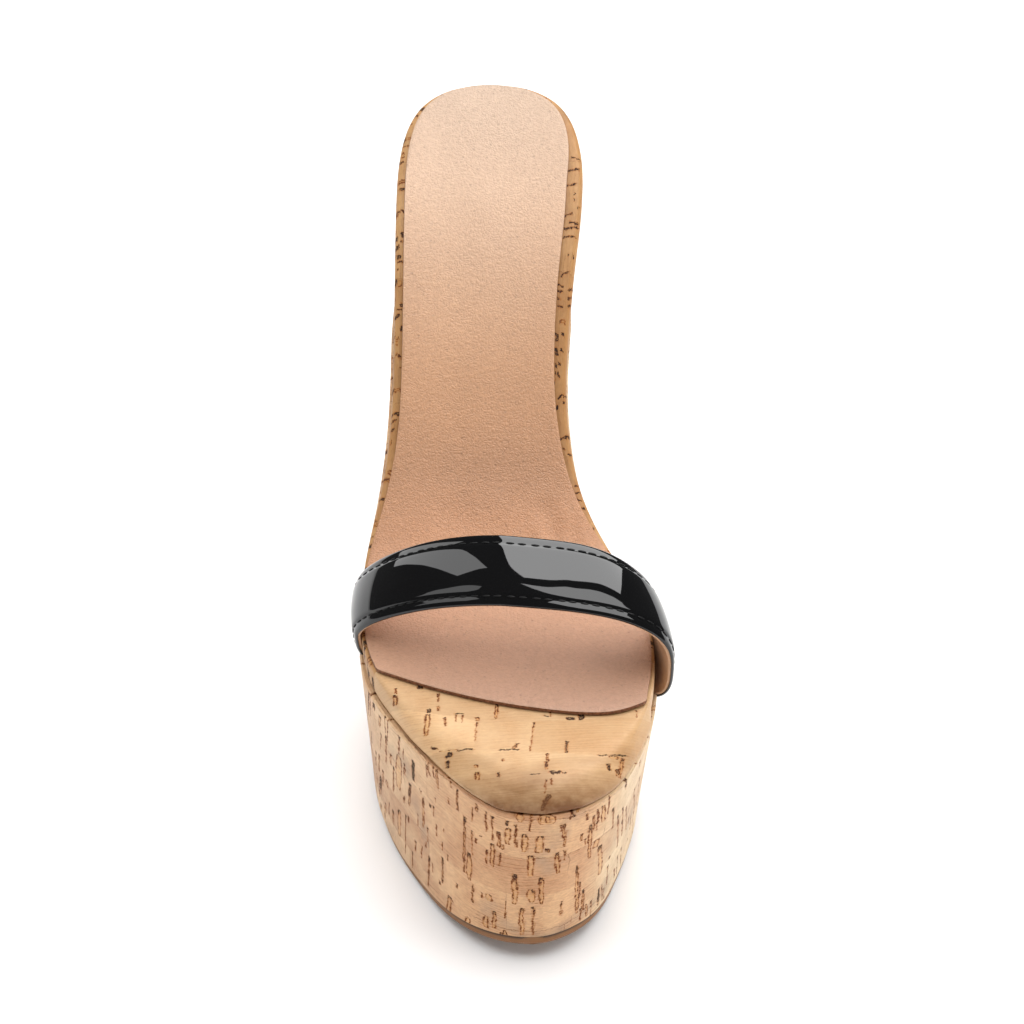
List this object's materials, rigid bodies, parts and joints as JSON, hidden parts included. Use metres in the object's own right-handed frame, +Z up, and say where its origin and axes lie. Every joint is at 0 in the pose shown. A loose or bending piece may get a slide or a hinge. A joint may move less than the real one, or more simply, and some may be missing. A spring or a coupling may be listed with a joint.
{
  "type": "platform stiletto sandal",
  "caption": "Slip-on platform sandal for the right foot with a cork-covered platform, footbed and stiletto heel, a leather insole and a black patent strap over the toes.",
  "frame": {"origin": "on the floor, under the middle of the shoe's bounding box", "axes": "+Z up, +Y from toe to heel, +X towards the inner side of the right foot"},
  "size_m": [0.0926, 0.2192, 0.1626],
  "materials": {
    "outsole_tan": "smooth tan sole sheet",
    "cork": "natural cork veneer with dark streaks",
    "insole_leather": "pale unlined leather, fine grain",
    "patent_leather": "black patent, high gloss",
    "tip_black": "black moulded top piece"
  },
  "bodies": {
    "root": {"outsole": "outsole_tan", "platform": "cork", "footbed": "cork", "insole": "insole_leather", "strap": "patent_leather", "heel": "cork", "heel_tip": "tip_black"}
  },
  "joints": []
}
